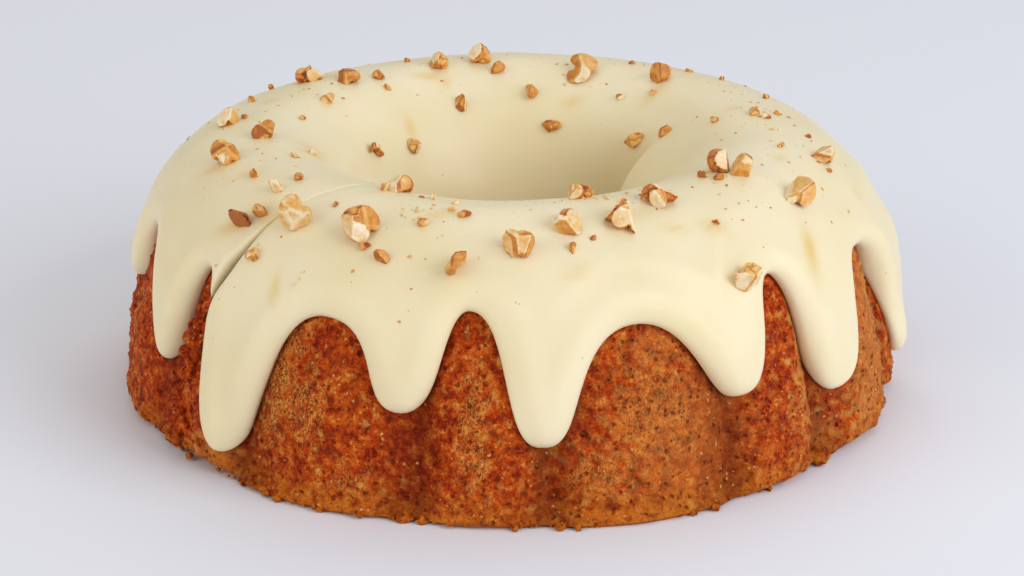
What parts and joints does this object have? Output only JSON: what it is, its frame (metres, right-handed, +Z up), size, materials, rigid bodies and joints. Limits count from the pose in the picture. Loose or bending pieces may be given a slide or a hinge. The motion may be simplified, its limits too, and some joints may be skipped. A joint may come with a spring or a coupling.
{
  "type": "ring cake",
  "caption": "Fluted ring cake with thick cream icing that hangs in drips, chopped walnuts on top and one knife cut.",
  "frame": {"origin": "middle of the cake's base, on the surface that it stands on", "axes": "+Z up through the hole; -Y towards the side seen from the front, with the knife cut at the front left; +X to the right"},
  "size_m": [0.2552, 0.2552, 0.0893],
  "materials": {
    "crust": "matt golden-brown baked crumb with fine pores",
    "icing": "soft satin cream cheese icing",
    "walnut": "matt broken kernel with darker skin"
  },
  "bodies": {
    "root": {"cake": "crust", "icing": "icing", "walnut_01": "walnut", "walnut_02": "walnut", "walnut_03": "walnut", "walnut_04": "walnut", "walnut_05": "walnut", "walnut_06": "walnut", "walnut_07": "walnut", "walnut_08": "walnut", "walnut_09": "walnut", "walnut_10": "walnut", "walnut_11": "walnut", "walnut_12": "walnut", "walnut_13": "walnut", "walnut_14": "walnut", "walnut_15": "walnut", "walnut_16": "walnut", "walnut_17": "walnut", "walnut_18": "walnut", "walnut_19": "walnut", "walnut_20": "walnut", "walnut_21": "walnut", "walnut_22": "walnut", "walnut_23": "walnut", "walnut_24": "walnut"}
  },
  "joints": []
}
